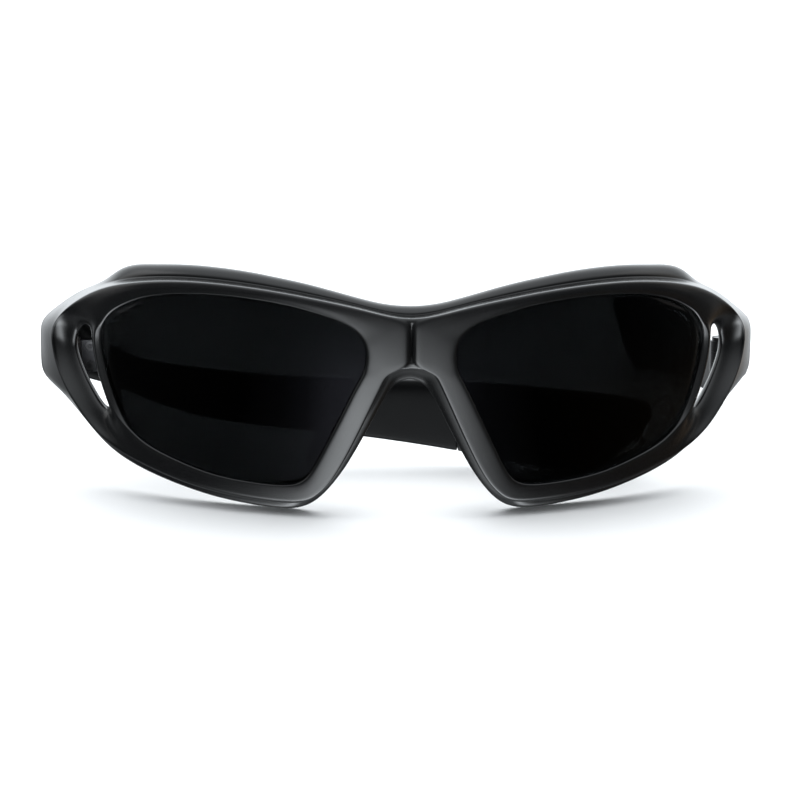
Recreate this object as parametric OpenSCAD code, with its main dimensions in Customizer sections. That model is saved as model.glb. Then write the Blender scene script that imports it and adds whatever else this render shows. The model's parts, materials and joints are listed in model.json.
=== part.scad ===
// Wraparound sport sunglasses with polarizing lenses, folding temples and rubber grips.
// X runs to the wearer's left, Y runs back along the temples, Z is up.
// The origin is the middle of the footprint, on the surface that the glasses stand on.

/* [Front] */
// Width over the hinges
frame_w = 142.4; // [138:0.2:145]
// Radius of the wrap of the front, to its outer face
wrap_r = 88; // [86:0.5:94]
// Thickness of the front along the radius of the wrap
front_t = 6; // [5.4:0.1:7]
// How far the flared shoulder lies behind the outer face
step_depth = 2.8; // [2:0.1:3.4]
// How far the shoulder flares out past the outer face
step_w = 2; // [1.4:0.1:2.4]
// Rim above the lenses
brow_rim = 4.5; // [4:0.1:5]
// Rim below the lenses, at its thickest
lower_rim = 6.3; // [5.5:0.1:8]
// Rim between each lens and the nose, measured level
nose_rim = 6.5; // [5.8:0.1:7]
// How far the middle of the brow dips
bridge_dip = 5.8; // [4:0.1:6.5]
// Height of the top of the nose arch
arch_z = 26.6; // [25:0.1:28]
// Radius of the parting groove down the middle of the bridge
bridge_groove_r = 0.5; // [0.3:0.05:0.8]

/* [Lenses] */
// Width of each lens opening
lens_w = 49.5; // [47.5:0.1:51]
// Height of each lens opening
lens_h = 35.3; // [33:0.1:38]
// Gap between the two lens openings
bridge_w = 16.6; // [15:0.1:18]
// How far the lens reaches into its groove all round
lens_bite = 0.6; // [0.4:0.05:0.8]
// How far the lens lies behind the outer face of the front
lens_set = 1.4; // [1:0.05:1.7]
// Thickness of the polarizing wafer
wafer_t = 0.6; // [0.4:0.05:0.8]
// Thickness of the lens base behind the wafer
lens_base_t = 1.7; // [1.2:0.05:2]

/* [Side vents] */
// Width of the open slot beside each lens
vent_w = 3.4; // [2.4:0.1:3.8]
// Depth of the scoop around each slot
scoop_depth = 3; // [2:0.1:3.4]

/* [End pieces and hinges] */
// Height of the middle of each end piece
end_z = 25.6; // [24.5:0.1:27]
// Height of each end piece at the hinge
end_h = 13.2; // [12:0.1:14]
// Distance back from the bridge to the hinge axis
hinge_back = 42; // [41.4:0.1:43]
// How far the hinge lies below the middle of the end piece
hinge_drop = 2.2; // [1.8:0.1:2.4]
// Height of each hinge barrel, all three knuckles together
barrel_h = 6.4; // [5.8:0.1:6.8]
// Radius of the hinge barrel
barrel_r = 1.8; // [1.6:0.05:1.9]
// Radius of the hinge screw's shank
pin_r = 0.7; // [0.6:0.05:0.8]
// Thickness of each hinge leaf
leaf_t = 0.9; // [0.8:0.05:1]
// Length of each hinge leaf
leaf_l = 5.2; // [4.9:0.1:5.4]
// Radius of the shank of the small screws that hold the leaves
leaf_screw_r = 0.5; // [0.4:0.05:0.6]
// Length of the small screws that hold the leaves
leaf_screw_l = 2.6; // [2.2:0.1:3]

/* [Temples] */
// Length of each temple behind the hinge
temple_l = 115; // [108:0.5:120]
// Thickness of each temple
temple_t = 4.3; // [3.8:0.1:4.6]
// How far each temple tip bends in towards the head
tip_in = 7; // [5:0.5:7]
// Length of each rubber grip
grip_l = 38; // [32:0.5:42]
// Extra thickness of the rubber grip over the temple on each side
grip_proud = 0.3; // [0.1:0.05:0.5]
// Thickness of the tongue inside the rubber grip
tongue_t = 1.6; // [1.2:0.1:2]
// Fold of the left temple as the glasses stand, 0 for open
left_rest_fold = 0; // [0:1:84]
// Fold of the right temple as the glasses stand, 0 for open
right_rest_fold = 91; // [0:1:91]

/* [Nose pads] */
// Length of each nose pad along the nose
pad_l = 14; // [12:0.5:15]
// Width of each nose pad from front to back
pad_w = 7.4; // [6:0.1:8]
// Thickness of each nose pad
pad_t = 2; // [1.6:0.1:2.2]
// How far the nose pads open towards the back, in degrees
pad_splay = 30; // [24:1:36]

/* [Hidden] */

// Clearances: lens in its groove, screw and grip seats, hinge pin, knuckle faces, butt faces
fit_gap = 0.05;
pin_gap = 0.05;
knuckle_gap = 0.1;
butt_gap = 0.3;
barrel_room = 0.2;

// Points on each stretch of a smooth outline
stretch = 4;
round_fn = 64;
ball_fn = 220;

function mix(a, b, f) = a + (b - a) * f;
function curve_at(a, b, c, d, t) = 0.5 * (2 * b + (c - a) * t
    + (2 * a - 5 * b + 4 * c - d) * t * t + (3 * b - a - 3 * c + d) * t * t * t);
function smooth_loop(p) = [for (i = [0 : len(p) - 1], k = [0 : stretch - 1])
    let (n = len(p)) curve_at(p[(i + n - 1) % n], p[i], p[(i + 1) % n], p[(i + 2) % n], k / stretch)];
function smooth_path(p) = [for (i = [0 : len(p) - 2], k = [0 : stretch - 1])
    curve_at(p[max(i - 1, 0)], p[i], p[i + 1], p[min(i + 2, len(p) - 1)], k / stretch)];

// Places across a lens, up a lens, and out from the lens to the hinge
function lens_x(u) = bridge_w / 2 + u * lens_w;
function lens_z(v) = lower_rim + v * lens_h;
function wing_x(t) = mix(lens_x(1), frame_w / 2, t);

wrap_z = lens_z(0.5);
brow_z = lens_z(1) + brow_rim;
end_top = end_z + end_h / 2;
end_low = end_z - end_h / 2;
butt_y = hinge_back - butt_gap / 2;
temple_y = hinge_back + butt_gap / 2;
total_depth = temple_y + temple_l;
seat_x = frame_w / 2 - temple_t;
hinge_x = seat_x - barrel_room - barrel_r;
hinge_z = end_z - hinge_drop;
knuckle_h = (barrel_h - 2 * knuckle_gap) / 3;
screw_head_r = 1.5;
screw_head_h = 0.8;
leaf_head_r = 1;
leaf_head_h = 0.4;
leaf_screw_rise = 2;
// Each leaf starts this far from the hinge plane, and its screws sit this far past its middle
leaf_gap = 0.2;
leaf_screw_out = 0.6;
// Lets the small screw heads stand a hair proud of the leaf
head_proud = 0.001;
screw_slot_w = 0.4;
screw_slot_d = 0.4;
front_screw_y = hinge_back - leaf_gap - leaf_l / 2 - leaf_screw_out;
temple_screw_y = hinge_back + leaf_gap + leaf_l / 2 + leaf_screw_out;
// Room round the front leaf in its pocket, and how far the pocket opens towards the middle
pocket_gap = 0.3;
pocket_w = 10;
end_l = 12;
end_set = 1;
// The parting groove starts this far above the nose arch
groove_rise = 4;
// How far joined shapes run into each other, and how far cutting shapes run past the front
overlap = 1;
front_room = 4;
lens_out_r = wrap_r - lens_set;
lens_mid_r = lens_out_r - wafer_t;
lens_in_r = lens_mid_r - lens_base_t;
tongue_inset = 2.4;
tongue_root = 2;
tongue_end = 4;
grip_start = temple_l - grip_l;
bend_start = 50;
nose_lean = 27;
pad_peg_r = 0.7;
pad_peg_l = 1.6;
pad_round = 2.6;
// How far behind the front, and how far out from the edge of the nose opening, each pad is seated
pad_set = 2.4;
pad_out = 3;
land_t = 2.6;

// The opening of a lens in shares of its width and height, from the nose corner round the bottom
lens_shape = [[0, 0.742], [0.014, 0.62], [0.067, 0.453], [0.131, 0.261], [0.175, 0.14],
    [0.208, 0.067], [0.246, 0.022], [0.3, 0], [0.41, 0.003], [0.537, 0.02], [0.707, 0.082],
    [0.83, 0.15], [0.895, 0.232], [0.939, 0.343], [0.98, 0.521], [1, 0.685], [0.985, 0.8],
    [0.927, 0.878], [0.792, 0.963], [0.6, 1], [0.416, 0.988], [0.228, 0.949], [0.097, 0.893],
    [0.03, 0.833]];

// Half of the silhouette, from the middle of the brow out to the hinge and back under the lens
brow_path = [[0, brow_z - bridge_dip], [lens_x(-0.08), brow_z - 0.966 * bridge_dip],
    [lens_x(0), brow_z - 0.81 * bridge_dip], [lens_x(0.133), brow_z - 0.535 * bridge_dip],
    [lens_x(0.277), brow_z - 0.284 * bridge_dip], [lens_x(0.442), brow_z - 0.086 * bridge_dip],
    [lens_x(0.58), brow_z], [lens_x(0.7), brow_z],
    [lens_x(0.802), mix(brow_z, end_top, 0.05)], [lens_x(0.883), mix(brow_z, end_top, 0.097)],
    [lens_x(0.943), mix(brow_z, end_top, 0.18)], [lens_x(0.978), mix(brow_z, end_top, 0.338)],
    [wing_x(0.1), mix(brow_z, end_top, 0.475)], [wing_x(0.284), mix(brow_z, end_top, 0.561)],
    [wing_x(0.478), mix(brow_z, end_top, 0.683)], [wing_x(0.68), mix(brow_z, end_top, 0.835)],
    [wing_x(0.9), mix(brow_z, end_top, 0.98)], [wing_x(1), mix(brow_z, end_top, 1.09)]];
under_path = [[wing_x(1), 1.1 * end_low], [wing_x(0.93), 1.02 * end_low],
    [wing_x(0.53), 0.81 * end_low], [wing_x(0.15), 0.52 * end_low], [lens_x(0.883), 0.295 * end_low],
    [lens_x(0.681), 0.142 * end_low], [lens_x(0.446), 0.026 * end_low], [lens_x(0.3), 0],
    [lens_x(0.246), 0.06 * lower_rim], [lens_x(0.192), 0.22 * lower_rim],
    [lens_x(0.152), 0.54 * lower_rim], [lens_x(0.12), 0.84 * lower_rim],
    [lens_x(0.175) - nose_rim, lens_z(0.142)], [lens_x(0.116) - nose_rim, lens_z(0.306)],
    [lens_x(0.052) - nose_rim, mix(lens_z(0.306), arch_z, 0.72)],
    [lens_x(0.022) - nose_rim, mix(lens_z(0.306), arch_z, 0.88)], [0, arch_z]];

// The slot beside a lens and the scoop round it, between the lens and the outer edge
vent_in = [[wing_x(0.21), lens_z(0.75)], [wing_x(0.19), lens_z(0.686)], [wing_x(0.172), lens_z(0.606)],
    [wing_x(0.134), lens_z(0.527)], [wing_x(0.075), lens_z(0.456)], [wing_x(0.007), lens_z(0.385)],
    [wing_x(-0.06), lens_z(0.309)], [wing_x(-0.06), lens_z(0.286)]];
vent_fill = [0, 0.85, 1, 0.9, 0.76, 0.6, 0.27, 0];
vent_out = [for (i = [0 : len(vent_in) - 1]) vent_in[i] + [vent_w * vent_fill[i], 0]];
scoop_loop = [[wing_x(0.23), lens_z(0.796)], [wing_x(0.56), lens_z(0.756)], [wing_x(0.68), lens_z(0.666)],
    [wing_x(0.67), lens_z(0.547)], [wing_x(0.58), lens_z(0.428)], [wing_x(0.418), lens_z(0.32)],
    [wing_x(0.18), lens_z(0.224)], [wing_x(-0.1), lens_z(0.167)], [wing_x(-0.12), lens_z(0.2)],
    [wing_x(-0.06), lens_z(0.303)], [wing_x(0.067), lens_z(0.445)], [wing_x(0.157), lens_z(0.572)],
    [wing_x(0.187), lens_z(0.7)]];

// A temple from the side: shares of its length, and heights as shares of the end piece's edges
temple_top = [[0, 1], [0.03, 0.91], [0.05, 0.84], [0.075, 0.76], [0.11, 0.7], [0.16, 0.665],
    [0.24, 0.63], [0.34, 0.59], [0.48, 0.57], [0.62, 0.565], [0.75, 0.55], [0.86, 0.525],
    [0.94, 0.5], [0.985, 0.475], [1, 0.45]];
temple_low = [[0, 1], [0.03, 0.95], [0.06, 0.9], [0.1, 0.82], [0.15, 0.69], [0.22, 0.56],
    [0.32, 0.46], [0.44, 0.38], [0.56, 0.29], [0.66, 0.2], [0.76, 0.1], [0.84, 0.02], [0.87, 0],
    [0.91, 0.05], [0.95, 0.24], [0.98, 0.46], [1, 0.62]];

function bend_at(s) = tip_in * pow(max(0, (s - bend_start) / (temple_l - bend_start)), 2);
function flip(p) = [for (i = [len(p) - 1 : -1 : 0]) p[i]];

module half_outline() {
    polygon(concat(smooth_path(brow_path), [brow_path[len(brow_path) - 1]],
        smooth_path(under_path), [under_path[len(under_path) - 1]]));
}

module body_outline() {
    half_outline();
    mirror([1, 0]) half_outline();
}

module lens_outline(grow) {
    offset(r = grow, $fn = round_fn)
        polygon(smooth_loop([for (p = lens_shape) [lens_x(p[0]), lens_z(p[1])]]));
}

// A front view outline drawn out along Y, and the ball and shell of the wrap
module drawn_back(depth = hinge_back) {
    translate([0, depth, 0]) rotate([90, 0, 0]) linear_extrude(depth + front_room) children();
}

module wrap_ball(r) {
    translate([0, wrap_r, wrap_z]) sphere(r, $fn = ball_fn);
}

module wrap_shell(r_out, r_in) {
    difference() {
        wrap_ball(r_out);
        wrap_ball(r_in);
    }
}

module both_sides() {
    children();
    mirror([1, 0, 0]) children();
}

// Moves a shape from the design's place, with the bridge at y = 0, to the middle of the footprint
module placed(side = "left") {
    translate([0, -total_depth / 2, 0])
        mirror([side == "right" ? 1 : 0, 0, 0])
            children();
}

module folded(angle) {
    translate([hinge_x, hinge_back, 0]) rotate([0, 0, angle])
        translate([-hinge_x, -hinge_back, 0]) children();
}

// Heights of the three knuckles: 0 is the lowest, 1 the middle, 2 the highest
function knuckle_z(i) = hinge_z - barrel_h / 2 + i * (knuckle_h + knuckle_gap);

module knuckle_space(i) {
    translate([hinge_x, hinge_back, knuckle_z(i) - knuckle_gap])
        cylinder(h = knuckle_h + 2 * knuckle_gap, r = barrel_r + barrel_room, $fn = round_fn);
}

module pad_place() {
    translate([lens_x(0.167) - nose_rim + pad_out, front_t + pad_set, lens_z(0.16)])
        rotate([0, -nose_lean, 0])
            rotate([0, 0, -pad_splay])
                children();
}

module pad_pegs(r, l) {
    for (k = [-1, 1])
        translate([-pad_t / 2, pad_w / 2, k * pad_l / 4])
            rotate([0, 90, 0])
                cylinder(h = pad_t / 2 + l, r = r, $fn = round_fn);
}

module pad_plate(grow = 0) {
    translate([-pad_t - grow, 0, -pad_l / 2])
        rotate([90, 0, 90])
            linear_extrude(pad_t + grow)
                offset(r = pad_round + grow, $fn = round_fn)
                    translate([pad_round, pad_round])
                        square([pad_w - 2 * pad_round, pad_l - 2 * pad_round]);
}

// The block that carries the front leaf, faired into the silhouette and the wrap
module end_piece() {
    intersection() {
        translate([seat_x, hinge_back - end_l, 0]) cube([2 * temple_t, end_l, brow_z]);
        drawn_back() half_outline();
        wrap_ball(wrap_r - end_set);
    }
}

// The ledge behind the nose side of the rim that each pad is pressed onto
module pad_land() {
    pad_place()
        translate([0, -pad_set - overlap, -pad_l / 2 + overlap])
            cube([land_t, pad_set + pad_w, pad_l - 2 * overlap]);
}

// A screw hole or shank through a hinge leaf into the plastic, at y along the temple side
module leaf_shanks(y, r, l) {
    for (k = [-1, 1])
        translate([seat_x - leaf_t, y, hinge_z + k * leaf_screw_rise])
            rotate([0, 90, 0])
                cylinder(h = l, r = r, $fn = round_fn);
}

module front_frame() {
    color([0.07, 0.07, 0.07]) placed() difference() {
        union() {
            intersection() {
                drawn_back() offset(r = -step_w, $fn = round_fn) body_outline();
                wrap_shell(wrap_r, wrap_r - step_depth - overlap);
            }
            intersection() {
                drawn_back() body_outline();
                wrap_shell(wrap_r - step_depth, wrap_r - front_t);
            }
            both_sides() end_piece();
            both_sides() pad_land();
        }
        both_sides() {
            drawn_back() lens_outline(0);
            intersection() {
                drawn_back() lens_outline(lens_bite + fit_gap);
                wrap_shell(lens_out_r + fit_gap, lens_in_r - fit_gap);
            }
            drawn_back() polygon(concat(smooth_path(vent_in), flip(smooth_path(vent_out))));
            difference() {
                drawn_back() polygon(smooth_loop(scoop_loop));
                wrap_ball(wrap_r - scoop_depth);
            }
            translate([seat_x - pocket_w, hinge_back - leaf_gap - leaf_l - pocket_gap,
                hinge_z - barrel_h / 2 - pocket_gap])
                cube([pocket_w, leaf_l + overlap, barrel_h + screw_head_h + 3 * pocket_gap]);
            leaf_shanks(front_screw_y, leaf_screw_r + fit_gap, leaf_screw_l + fit_gap);
            pad_place() pad_pegs(pad_peg_r + fit_gap, pad_peg_l + fit_gap);
            pad_place() pad_plate(fit_gap);
            translate([0, butt_y, 0]) cube([frame_w, hinge_back, brow_z]);
        }
        intersection() {
            translate([0, wrap_r, wrap_z]) rotate([0, 90, 0])
                rotate_extrude($fn = ball_fn) translate([wrap_r, 0]) circle(r = bridge_groove_r, $fn = round_fn);
            translate([-bridge_groove_r, -front_t, arch_z + groove_rise])
                cube([2 * bridge_groove_r, 3 * front_t, brow_z]);
        }
    }
}

module lens_layer(r_out, r_in) {
    intersection() {
        drawn_back() lens_outline(lens_bite);
        wrap_shell(r_out, r_in);
    }
}

module lens_base(side) {
    color([0.1, 0.1, 0.11]) placed(side) lens_layer(lens_mid_r, lens_in_r);
}

module polarizing_wafer(side) {
    color([0.02, 0.02, 0.03]) placed(side) lens_layer(lens_out_r, lens_mid_r);
}

module nose_pad(side) {
    color([0.12, 0.12, 0.12]) placed(side) pad_place() {
        pad_plate();
        pad_pegs(pad_peg_r, pad_peg_l);
    }
}

// A leaf lies on the seat plane; its knuckles lean over the hinge axis
module hinge_leaf(start_y, screw_y, mine, others) {
    difference() {
        union() {
            translate([seat_x - leaf_t, start_y, hinge_z - barrel_h / 2])
                cube([leaf_t, leaf_l, barrel_h]);
            for (i = mine)
                translate([hinge_x, hinge_back, knuckle_z(i)])
                    cylinder(h = knuckle_h, r = barrel_r, $fn = round_fn);
        }
        for (i = others) knuckle_space(i);
        translate([hinge_x, hinge_back, hinge_z - barrel_h])
            cylinder(h = 2 * barrel_h, r = pin_r + pin_gap, $fn = round_fn);
        leaf_shanks(screw_y, leaf_screw_r + fit_gap, 2 * leaf_t);
        leaf_heads(screw_y, leaf_head_r + fit_gap);
    }
}

module leaf_heads(y, r) {
    for (k = [-1, 1])
        translate([seat_x - leaf_t - head_proud, y, hinge_z + k * leaf_screw_rise])
            rotate([0, 90, 0])
                cylinder(h = leaf_head_h, r = r, $fn = round_fn);
}

module front_hinge_leaf(side) {
    color([0.6, 0.6, 0.6]) placed(side)
        hinge_leaf(hinge_back - leaf_gap - leaf_l, front_screw_y, [0, 2], [1]);
}

module temple_hinge_leaf(side, fold) {
    color([0.6, 0.6, 0.6]) placed(side) folded(fold)
        hinge_leaf(hinge_back + leaf_gap, temple_screw_y, [1], [0, 2]);
}

module small_screws(y) {
    leaf_shanks(y, leaf_screw_r, leaf_screw_l);
    leaf_heads(y, leaf_head_r);
}

module front_leaf_screws(side) {
    color([0.7, 0.7, 0.7]) placed(side) small_screws(front_screw_y);
}

module temple_leaf_screws(side, fold) {
    color([0.7, 0.7, 0.7]) placed(side) folded(fold) small_screws(temple_screw_y);
}

module hinge_screw(side) {
    color([0.7, 0.7, 0.7]) placed(side) translate([hinge_x, hinge_back, hinge_z - barrel_h / 2]) {
        cylinder(h = barrel_h, r = pin_r, $fn = round_fn);
        difference() {
            translate([0, 0, barrel_h]) cylinder(h = screw_head_h, r = screw_head_r, $fn = round_fn);
            translate([-screw_head_r, -screw_slot_w / 2, barrel_h + screw_head_h - screw_slot_d])
                cube([2 * screw_head_r, screw_slot_w, screw_head_h]);
        }
    }
}

// The temple seen from the side and from above; s runs back from the butt face
module side_outline(inset = 0) {
    offset(delta = -inset) polygon(concat(
        smooth_path([for (p = temple_top) [p[0] * temple_l, p[1] * end_top]]),
        flip(smooth_path([for (p = temple_low) [p[0] * temple_l, p[1] * end_low]]))));
}

module plan_outline(thick, from, to) {
    steps = 24;
    mid = seat_x + temple_t / 2;
    s = [for (i = [0 : steps]) mix(from, to, i / steps)];
    polygon(concat([for (v = s) [mid + thick / 2 - bend_at(v), v]],
        flip([for (v = s) [mid - thick / 2 - bend_at(v), v]])));
}

module temple_bar(thick, inset, from, to) {
    translate([0, temple_y, 0]) intersection() {
        linear_extrude(brow_z) plan_outline(thick, from, to);
        rotate([90, 0, 90]) linear_extrude(frame_w) side_outline(inset);
    }
}

module temple(side, fold) {
    color([0.06, 0.06, 0.06]) placed(side) folded(fold) difference() {
        union() {
            temple_bar(temple_t, 0, 0, grip_start);
            temple_bar(tongue_t, tongue_inset, grip_start - tongue_root, temple_l - tongue_end);
        }
        leaf_shanks(temple_screw_y, leaf_screw_r + fit_gap, leaf_screw_l + fit_gap);
    }
}

module temple_grip(side, fold) {
    color([0.15, 0.15, 0.15]) placed(side) folded(fold) difference() {
        temple_bar(temple_t + 2 * grip_proud, 0, grip_start, temple_l);
        temple_bar(tongue_t + 2 * fit_gap, tongue_inset - fit_gap, grip_start - tongue_root,
            temple_l - tongue_end + fit_gap);
    }
}

front_frame();
lens_base("left");  // left_lens_base
lens_base("right");  // right_lens_base
polarizing_wafer("left");  // left_polarizing_wafer
polarizing_wafer("right");  // right_polarizing_wafer
nose_pad("left");  // left_nose_pad
nose_pad("right");  // right_nose_pad
front_hinge_leaf("left");  // left_front_hinge_leaf
front_hinge_leaf("right");  // right_front_hinge_leaf
front_leaf_screws("left");  // left_front_leaf_screws
front_leaf_screws("right");  // right_front_leaf_screws
hinge_screw("left");  // left_hinge_screw
hinge_screw("right");  // right_hinge_screw
temple_hinge_leaf("left", left_rest_fold);  // left_temple_hinge_leaf
temple_hinge_leaf("right", right_rest_fold);  // right_temple_hinge_leaf
temple_leaf_screws("left", left_rest_fold);  // left_temple_leaf_screws
temple_leaf_screws("right", right_rest_fold);  // right_temple_leaf_screws
temple("left", left_rest_fold);  // left_temple
temple("right", right_rest_fold);  // right_temple
temple_grip("left", left_rest_fold);  // left_temple_grip
temple_grip("right", right_rest_fold);  // right_temple_grip
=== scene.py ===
import json
import math

import bmesh
import bpy
from mathutils import Matrix, Quaternion, Vector


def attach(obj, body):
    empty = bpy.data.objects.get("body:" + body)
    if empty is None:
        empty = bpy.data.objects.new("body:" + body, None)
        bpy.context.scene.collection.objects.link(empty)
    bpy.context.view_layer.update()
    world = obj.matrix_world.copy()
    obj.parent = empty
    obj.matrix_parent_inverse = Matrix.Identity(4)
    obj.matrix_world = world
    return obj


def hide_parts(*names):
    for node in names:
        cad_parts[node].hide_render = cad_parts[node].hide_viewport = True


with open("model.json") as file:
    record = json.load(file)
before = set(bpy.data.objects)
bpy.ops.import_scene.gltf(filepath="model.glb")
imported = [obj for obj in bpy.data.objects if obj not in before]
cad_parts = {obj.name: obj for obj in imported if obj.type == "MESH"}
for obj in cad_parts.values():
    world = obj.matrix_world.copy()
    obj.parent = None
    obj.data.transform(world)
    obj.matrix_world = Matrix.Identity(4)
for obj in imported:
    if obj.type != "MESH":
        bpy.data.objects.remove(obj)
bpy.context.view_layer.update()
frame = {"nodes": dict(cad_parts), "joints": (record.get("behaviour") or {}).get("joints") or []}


# The front is one piece of satin black moulded plastic, wrapped round the face. A raised
# face plate stands on a wider shoulder, the lenses sit in grooves moulded into it, and a
# slot with a scooped wing lies between each rim and the hinge.

mm = 0.001
hinges = {joint["name"]: joint for joint in frame["joints"]}
left_hinge = Vector(hinges["left_temple_hinge"]["pos_m"]) / mm
# Distance from the bridge back to the hinge, and half the gap between the butt faces there
hinge_back, butt_gap = 42.0, 0.15
bridge_y = left_hinge.y - hinge_back
butt_y = hinge_back - butt_gap
# Radius and middle height of the wrap, and the front's thickness along that radius
wrap_r, wrap_z, front_t = 88.0, 23.95, 6.0
# Place across of the plane that the hinge leaves lie on, and the middle of the end piece
seat_x = 66.9
end_x, end_z = 69.0, 25.6


def mix(a, b, share):
    """The value or point at a share of the way from a to b."""
    return a + (b - a) * share


def ease(low, high, value):
    """0 below low, 1 above high, and a soft rise between."""
    share = min(max((value - low) / (high - low), 0.0), 1.0)
    return share * share * (3 - 2 * share)


def on_wrap(x, z, depth):
    """A point at this depth behind the outer face, in millimetres, with the bridge at y = 0."""
    return Vector((x, wrap_r - math.sqrt((wrap_r - depth) ** 2 - x * x - (z - wrap_z) ** 2), z))


def placed(side, x, y, z):
    """The place in the frame of a point in millimetres: X out from the nose, and y = 0 at the bridge."""
    return side * x * mm, (y + bridge_y) * mm, z * mm


# Round the rim from the middle of the brow: lens edge, edge of the face plate, silhouette,
# and how far the shoulder is a step (1) or a slope (0)
rim_stations = [
    ((9.3, 35.1), (0.0, 38.5), (0.0, 40.2), 1.0),
    ((10.8, 36.7), (4.8, 39.3), (5.0, 40.6), 1.0),
    ((13.0, 37.9), (8.59, 40.26), (9.2, 41.6), 1.0),
    ((15.9, 38.8), (13.78, 41.35), (14.4, 42.9), 1.0),
    ((19.8, 39.8), (19.2, 42.25), (19.6, 44.1), 1.0),
    ((24.2, 40.7), (24.0, 42.95), (24.2, 44.8), 1.0),
    ((28.9, 41.2), (29.5, 43.5), (29.6, 45.6), 1.0),
    ((34.1, 41.6), (35.6, 43.85), (35.6, 46.0), 1.0),
    ((39.4, 41.5), (42.0, 43.8), (42.0, 46.0), 1.0),
    ((44.3, 41.0), (47.5, 43.25), (47.6, 45.35), 1.0),
    ((48.2, 40.1), (51.2, 42.6), (51.6, 44.95), 1.0),
    ((51.3, 38.9), (54.4, 41.8), (54.9, 43.6), 0.9),
    ((53.7, 37.6), (57.4, 40.8), (57.5, 41.0), 0.5),
    ((55.5, 36.4), (60.4, 39.3), (60.5, 39.25), 0.0),
    ((56.7, 35.2), (63.1, 37.4), (63.5, 37.5), 0.0),
    ((57.4, 33.9), (65.6, 35.2), (66.6, 34.9), 0.0),
    ((57.7, 32.3), (67.6, 32.59), (70.3, 32.0), 0.0),
    ((57.8, 30.2), (68.6, 29.9), (71.2, 30.0), 0.0),
    ((57.4, 27.4), (68.3, 27.3), (71.2, 27.2), 0.0),
    ((56.8, 24.7), (67.7, 24.42), (71.2, 24.3), 0.0),
    ((55.9, 21.6), (66.5, 21.51), (71.2, 21.4), 0.0),
    ((54.8, 18.5), (65.0, 18.67), (70.2, 19.2), 0.0),
    ((53.5, 15.9), (63.0, 15.81), (66.6, 16.5), 0.0),
    ((51.9, 13.6), (60.27, 12.47), (62.2, 12.2), 0.0),
    ((49.8, 11.9), (56.26, 9.61), (58.35, 8.3), 0.4),
    ((46.8, 10.5), (51.96, 7.75), (53.7, 5.9), 1.0),
    ((43.3, 9.2), (47.05, 5.97), (48.1, 4.0), 1.0),
    ((39.3, 7.9), (41.65, 4.42), (42.25, 2.45), 1.0),
    ((34.9, 7.0), (36.26, 3.43), (36.65, 1.2), 1.0),
    ((30.9, 6.6), (31.16, 2.81), (31.0, 0.55), 1.0),
    ((26.6, 6.3), (26.6, 2.5), (26.4, 0.1), 1.0),
    ((23.7, 6.3), (23.08, 2.44), (22.6, 0.02), 1.0),
    ((21.6, 6.6), (20.71, 2.65), (20.0, 0.5), 0.75),
    ((20.1, 7.3), (18.62, 3.27), (17.8, 1.5), 0.4),
    ((18.9, 8.68), (16.84, 4.85), (15.6, 3.6), 0.12),
    ((17.78, 10.66), (14.92, 7.05), (13.5, 6.4), 0.0),
    ((16.52, 13.25), (13.01, 10.28), (11.4, 9.7), 0.0),
    ((15.18, 16.08), (11.25, 13.78), (9.5, 13.3), 0.0),
    ((13.71, 19.12), (9.57, 17.34), (7.7, 16.8), 0.0),
    ((12.23, 22.25), (7.91, 21.0), (6.0, 20.3), 0.0),
    ((10.95, 24.95), (6.31, 24.54), (4.35, 23.4), 0.0),
    ((9.85, 27.0), (5.15, 27.0), (3.2, 25.1), 0.0),
    ((9.25, 28.06), (4.3, 28.7), (1.8, 26.2), 0.0),
    ((8.85, 29.1), (0.0, 30.15), (0.0, 26.6), 0.0),
]
# Up the middle of the bridge: lens edge, and height on the parting line
bridge_stations = [((8.6, 30.4), 32.0), ((8.4, 32.1), 34.2), ((8.7, 33.8), 36.4)]

# The side slot, by station: its inner and outer edge. The last one only closes it.
slot_stations = {
    16: ((60.5, 32.4), (61.9, 32.2)),
    17: ((60.35, 30.1), (63.2, 30.0)),
    18: ((60.1, 27.6), (63.5, 27.4)),
    19: ((59.55, 24.9), (62.6, 24.6)),
    20: ((58.6, 21.9), (61.2, 21.7)),
    21: ((57.6, 19.0), (59.4, 18.9)),
    22: ((56.9, 16.8), (57.7, 16.5)),
}
slot_rings = range(16, 22)
# Depth of the scooped wing at its inner side, middle and crest
scoop_depths = {
    14: (0.0, 0.05, 0.15), 15: (0.35, 0.5, 0.3), 16: (3.0, 2.7, 1.3), 17: (3.8, 3.1, 1.3),
    18: (3.9, 3.1, 1.25), 19: (3.8, 3.0, 1.2), 20: (3.6, 2.8, 1.15), 21: (3.2, 2.5, 1.0),
    22: (2.7, 2.1, 0.9), 23: (1.5, 1.4, 0.55), 24: (0.35, 0.45, 0.25),
}

# Where the face is flat rather than crowned, and the width of the bevel on its outer edge
plain_face = (0.0, 0.22)
face_shapes = {
    0: (0.7, 0.22), 1: (0.7, 0.22), 2: (0.5, 0.22), 24: (0, 0.4), 25: (0.2, 0.55), 26: (0.4, 0.65),
    27: (0.5, 0.7), 28: (0.5, 0.7), 29: (0.5, 0.7), 30: (0.5, 0.7), 31: (0.5, 0.65), 32: (0.6, 0.55),
    33: (0.7, 0.45), 34: (0.85, 0.3), 35: (1, 0.25), **{number: (1, 0.22) for number in range(36, 44)},
}

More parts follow.
